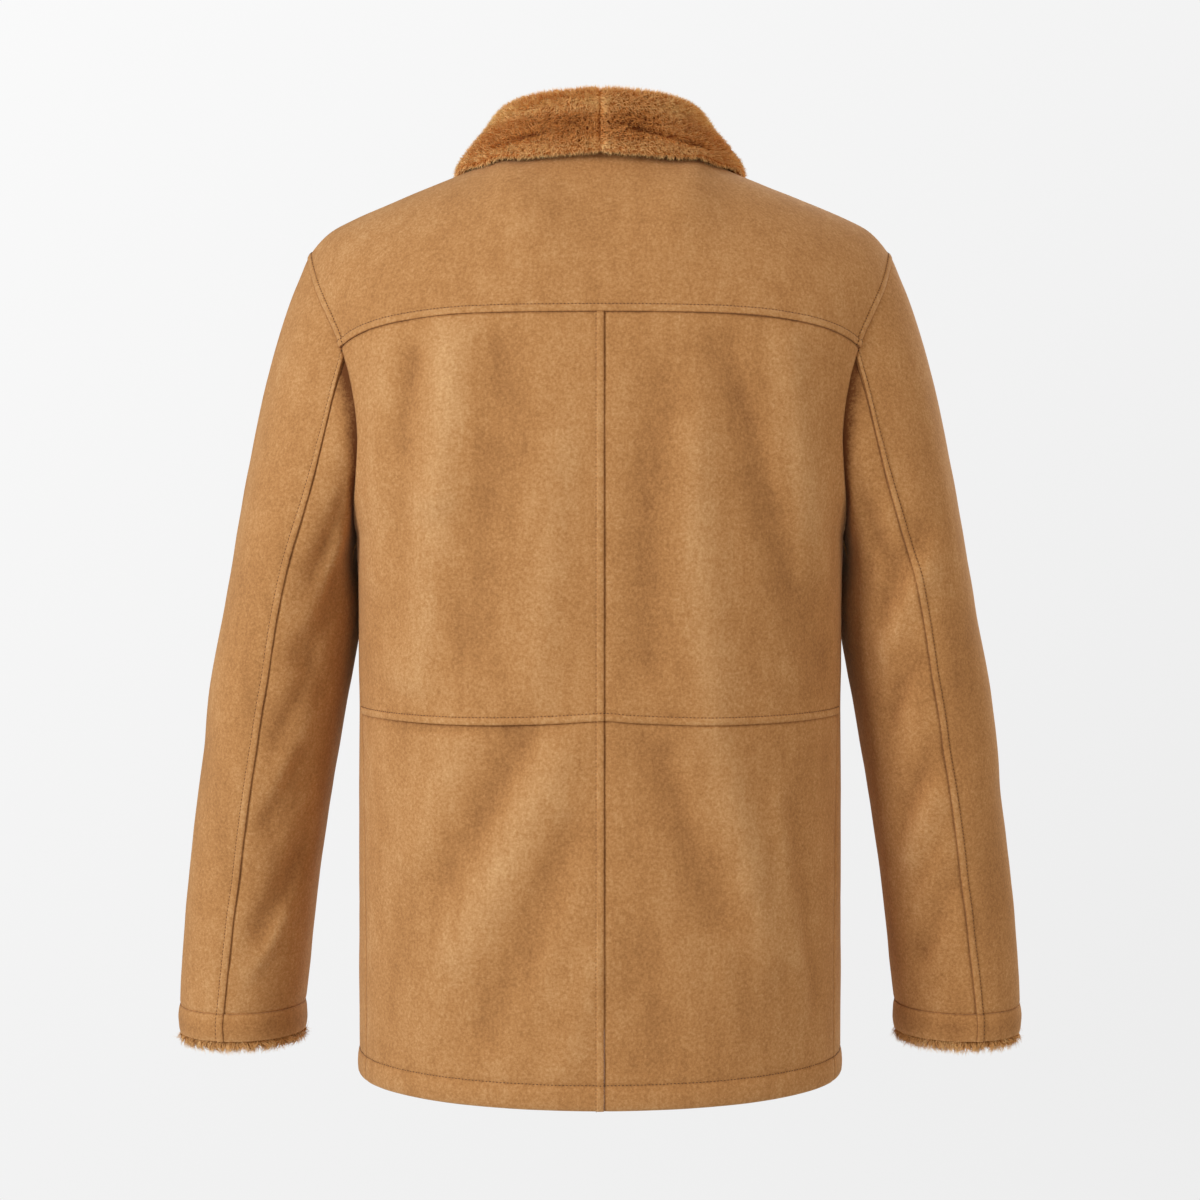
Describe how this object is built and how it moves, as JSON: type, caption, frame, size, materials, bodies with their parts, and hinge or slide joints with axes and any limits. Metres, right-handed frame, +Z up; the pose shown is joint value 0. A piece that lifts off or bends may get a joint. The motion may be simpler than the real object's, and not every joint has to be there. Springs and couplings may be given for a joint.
{
  "type": "faux fur jacket",
  "caption": "Straight hip-length faux shearling jacket filled out as worn, with a turned-down fur collar, back yoke, lapped seams and fur-edged cuffs.",
  "frame": {"origin": "the centre of the neck opening at the height of the neck seam at the shoulders, where a wearer or display form holds the jacket up", "axes": "+Z up, the front faces -Y, the wearer's left is +X"},
  "size_m": [0.7244, 0.3027, 0.8089],
  "materials": {
    "suede": "brushed matte faux suede",
    "collar_fur": "dense faux fur pile",
    "cuff_fur": "short curly faux fur pile",
    "button": "satin horn effect"
  },
  "bodies": {
    "root": {"back_lower_left": "suede", "back_lower_right": "suede", "back_upper_left": "suede", "back_upper_right": "suede", "back_yoke": "suede", "button_1": "button", "button_2": "button", "button_3": "button", "button_4": "button", "button_5": "button", "collar_left": "collar_fur", "collar_right": "collar_fur", "cuff_fur_left": "cuff_fur", "cuff_fur_right": "cuff_fur", "cuff_left": "suede", "cuff_right": "suede", "front_left": "suede", "front_right": "suede", "sleeve_top_left": "suede", "sleeve_top_right": "suede", "sleeve_under_left": "suede", "sleeve_under_right": "suede"}
  },
  "joints": []
}
